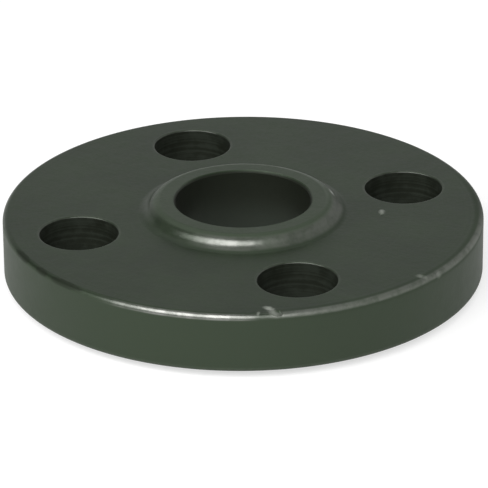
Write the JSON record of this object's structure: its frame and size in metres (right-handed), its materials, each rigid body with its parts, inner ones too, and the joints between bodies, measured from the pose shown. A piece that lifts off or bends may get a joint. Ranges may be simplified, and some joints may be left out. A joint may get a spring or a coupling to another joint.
{
  "type": "slip on flange",
  "caption": "Round steel pipe flange with a low hub around a plain bore, bolt holes near the rim and a raised sealing face underneath.",
  "frame": {"origin": "where the bore's axis meets the raised sealing face, which is the face that it stands on", "axes": "+Z along the bore's axis, from the sealing face towards the hub; the bolt holes lie midway between the X and Y axes"},
  "size_m": [0.0984, 0.0984, 0.0165],
  "materials": {
    "painted_steel": "thin dark green-grey lacquer over forged and turned steel, satin"
  },
  "bodies": {
    "root": {"slip_on_flange": "painted_steel"}
  },
  "joints": []
}
